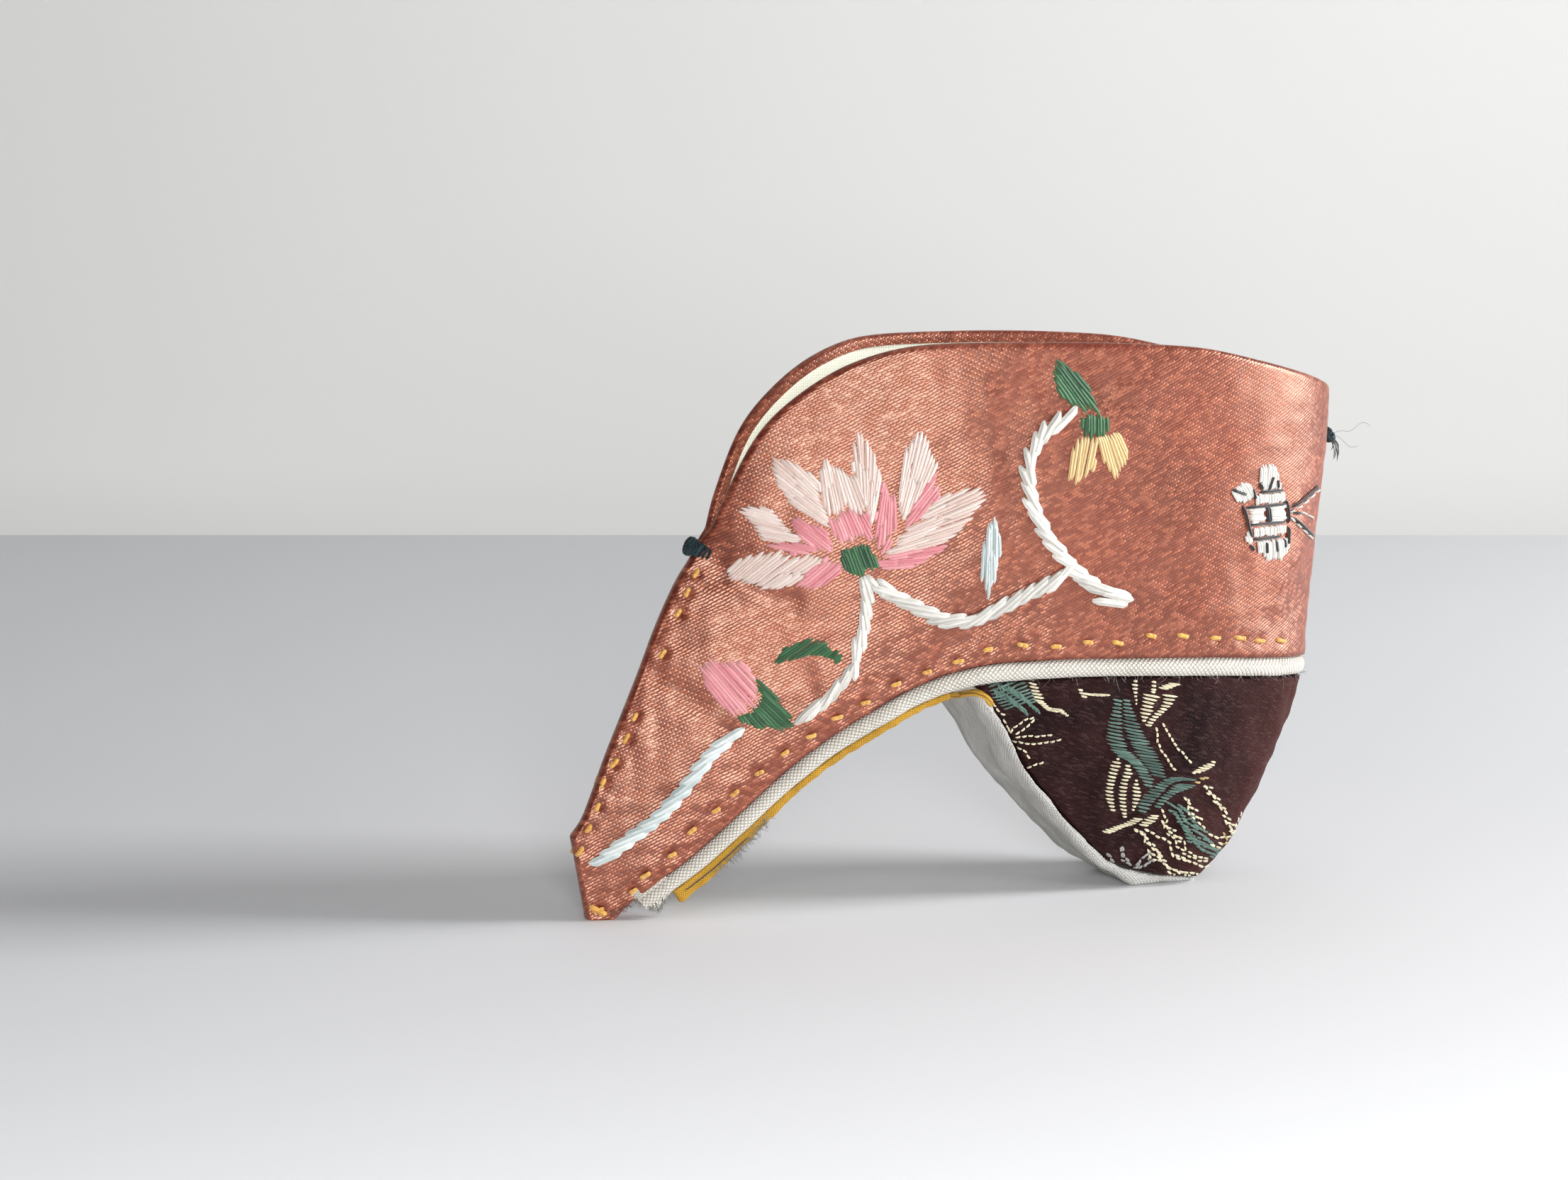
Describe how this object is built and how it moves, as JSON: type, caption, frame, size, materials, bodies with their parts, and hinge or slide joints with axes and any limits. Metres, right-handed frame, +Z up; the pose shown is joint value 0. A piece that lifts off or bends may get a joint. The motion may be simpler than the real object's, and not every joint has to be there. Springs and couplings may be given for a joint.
{
  "type": "embroidered lotus shoe",
  "caption": "Small arched cloth shoe with a tall satin upper open at the collar, a piped lower edge and a covered wedge heel",
  "frame": {"origin": "on the floor, under the middle of the shoe's box", "axes": "+X from the toe to the heel, +Y to the wearer's side away from the picture's camera, +Z up"},
  "size_m": [0.1296, 0.0346, 0.088],
  "materials": {
    "upper": "salmon silk satin, embroidered",
    "piping": "plain white cotton over a cord",
    "sole": "white cotton",
    "heel": "dark brown brocade over a light wedge",
    "insole": "pale cotton",
    "front_tape_left": "yellow cotton tape",
    "front_tape_right": "yellow cotton tape",
    "rear_tape_left": "yellow cotton tape",
    "rear_tape_right": "yellow cotton tape",
    "front_knot": "dark teal thread",
    "back_knot": "dark teal thread"
  },
  "bodies": {
    "root": {"upper": "upper", "piping": "piping", "sole": "sole", "heel": "heel", "insole": "insole", "front_tape_left": "front_tape_left", "front_tape_right": "front_tape_right", "rear_tape_left": "rear_tape_left", "rear_tape_right": "rear_tape_right", "front_knot": "front_knot", "back_knot": "back_knot"}
  },
  "joints": []
}
